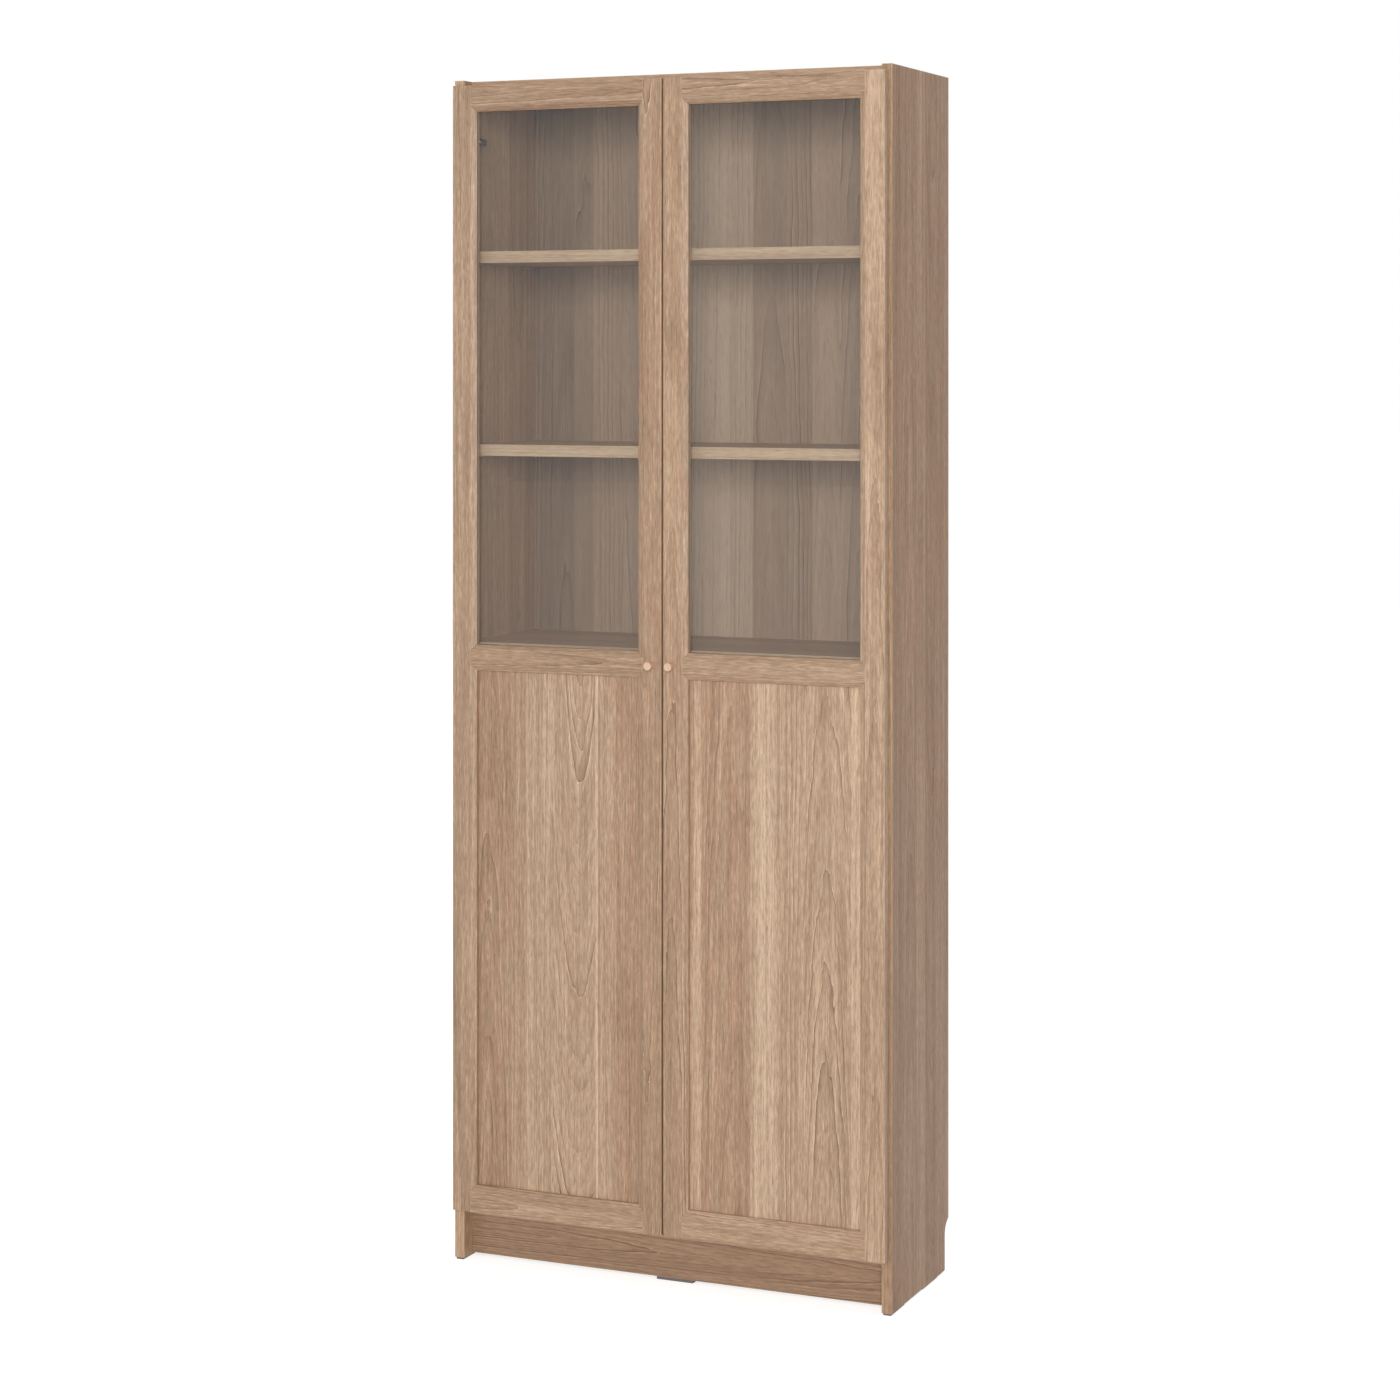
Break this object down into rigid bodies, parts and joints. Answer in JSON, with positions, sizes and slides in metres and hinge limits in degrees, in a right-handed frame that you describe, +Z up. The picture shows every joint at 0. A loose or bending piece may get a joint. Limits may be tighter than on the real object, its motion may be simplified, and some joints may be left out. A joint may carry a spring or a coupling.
{
  "type": "bookcase with glass doors",
  "caption": "Tall oak-finish bookcase with framed doors, glazed above and panelled below, on concealed hinges, with loose shelves, round knobs and a set-back plinth.",
  "frame": {"origin": "on the floor under the middle of the whole bookcase, doors closed", "axes": "+X to the right seen from the front, +Y to the back, +Z up"},
  "size_m": [0.796, 0.319, 2.02],
  "materials": {
    "case_oak": "oak-grain foil, satin",
    "door_oak": "oak-grain foil, satin",
    "back_board": "printed oak grain, matt",
    "glass": "clear float glass",
    "turned_wood": "lacquered turned wood",
    "dowel_wood": "bare beech",
    "grey_plastic": "moulded, matt",
    "strip_plastic": "extruded, matt",
    "paper_tape": "brown paper tape",
    "cast_zinc": "die-cast zinc",
    "steel": "nickel-plated steel"
  },
  "bodies": {
    "case": {"back_fold_tape": "paper_tape", "back_nails": "steel", "bottom_panel": "case_oak", "cam_bolts": "steel", "cam_locks": "cast_zinc", "case_dowels": "dowel_wood", "floor_pads": "grey_plastic", "left_back_leaf": "back_board", "left_hinge_arms": "steel", "left_hinge_plates": "steel", "left_hinge_screws": "steel", "left_side_panel": "case_oak", "lower_shelf_1": "case_oak", "lower_shelf_2": "case_oak", "middle_foot": "grey_plastic", "middle_foot_screws": "steel", "middle_shelf": "case_oak", "plinth": "case_oak", "right_back_leaf": "back_board", "right_hinge_arms": "steel", "right_hinge_plates": "steel", "right_hinge_screws": "steel", "right_side_panel": "case_oak", "shelf_pins": "steel", "top_panel": "case_oak", "upper_shelf_1": "case_oak", "upper_shelf_2": "case_oak"},
    "right_door": {"right_cup_screws": "steel", "right_door_bottom_rail": "door_oak", "right_door_dowels": "dowel_wood", "right_door_glass": "glass", "right_door_hinge_stile": "door_oak", "right_door_meeting_stile": "door_oak", "right_door_middle_rail": "door_oak", "right_door_panel": "door_oak", "right_door_top_rail": "door_oak", "right_glass_strips": "strip_plastic", "right_hinge_cups": "steel", "right_hinge_pins": "steel", "right_knob": "turned_wood", "right_knob_screw": "steel"},
    "left_door": {"left_cup_screws": "steel", "left_door_bottom_rail": "door_oak", "left_door_dowels": "dowel_wood", "left_door_glass": "glass", "left_door_hinge_stile": "door_oak", "left_door_meeting_stile": "door_oak", "left_door_middle_rail": "door_oak", "left_door_panel": "door_oak", "left_door_top_rail": "door_oak", "left_glass_strips": "strip_plastic", "left_hinge_cups": "steel", "left_hinge_pins": "steel", "left_knob": "turned_wood", "left_knob_screw": "steel"}
  },
  "joints": [
    {"name": "right_door_hinge", "type": "hinge", "parent": "case", "child": "right_door", "pos_m": [0.38555, -0.1315, 1.049], "axis": [0, 0, 1], "range_deg": [0, 100]},
    {"name": "left_door_hinge", "type": "hinge", "parent": "case", "child": "left_door", "pos_m": [-0.38555, -0.1315, 1.049], "axis": [0, 0, -1], "range_deg": [0, 100]}
  ]
}
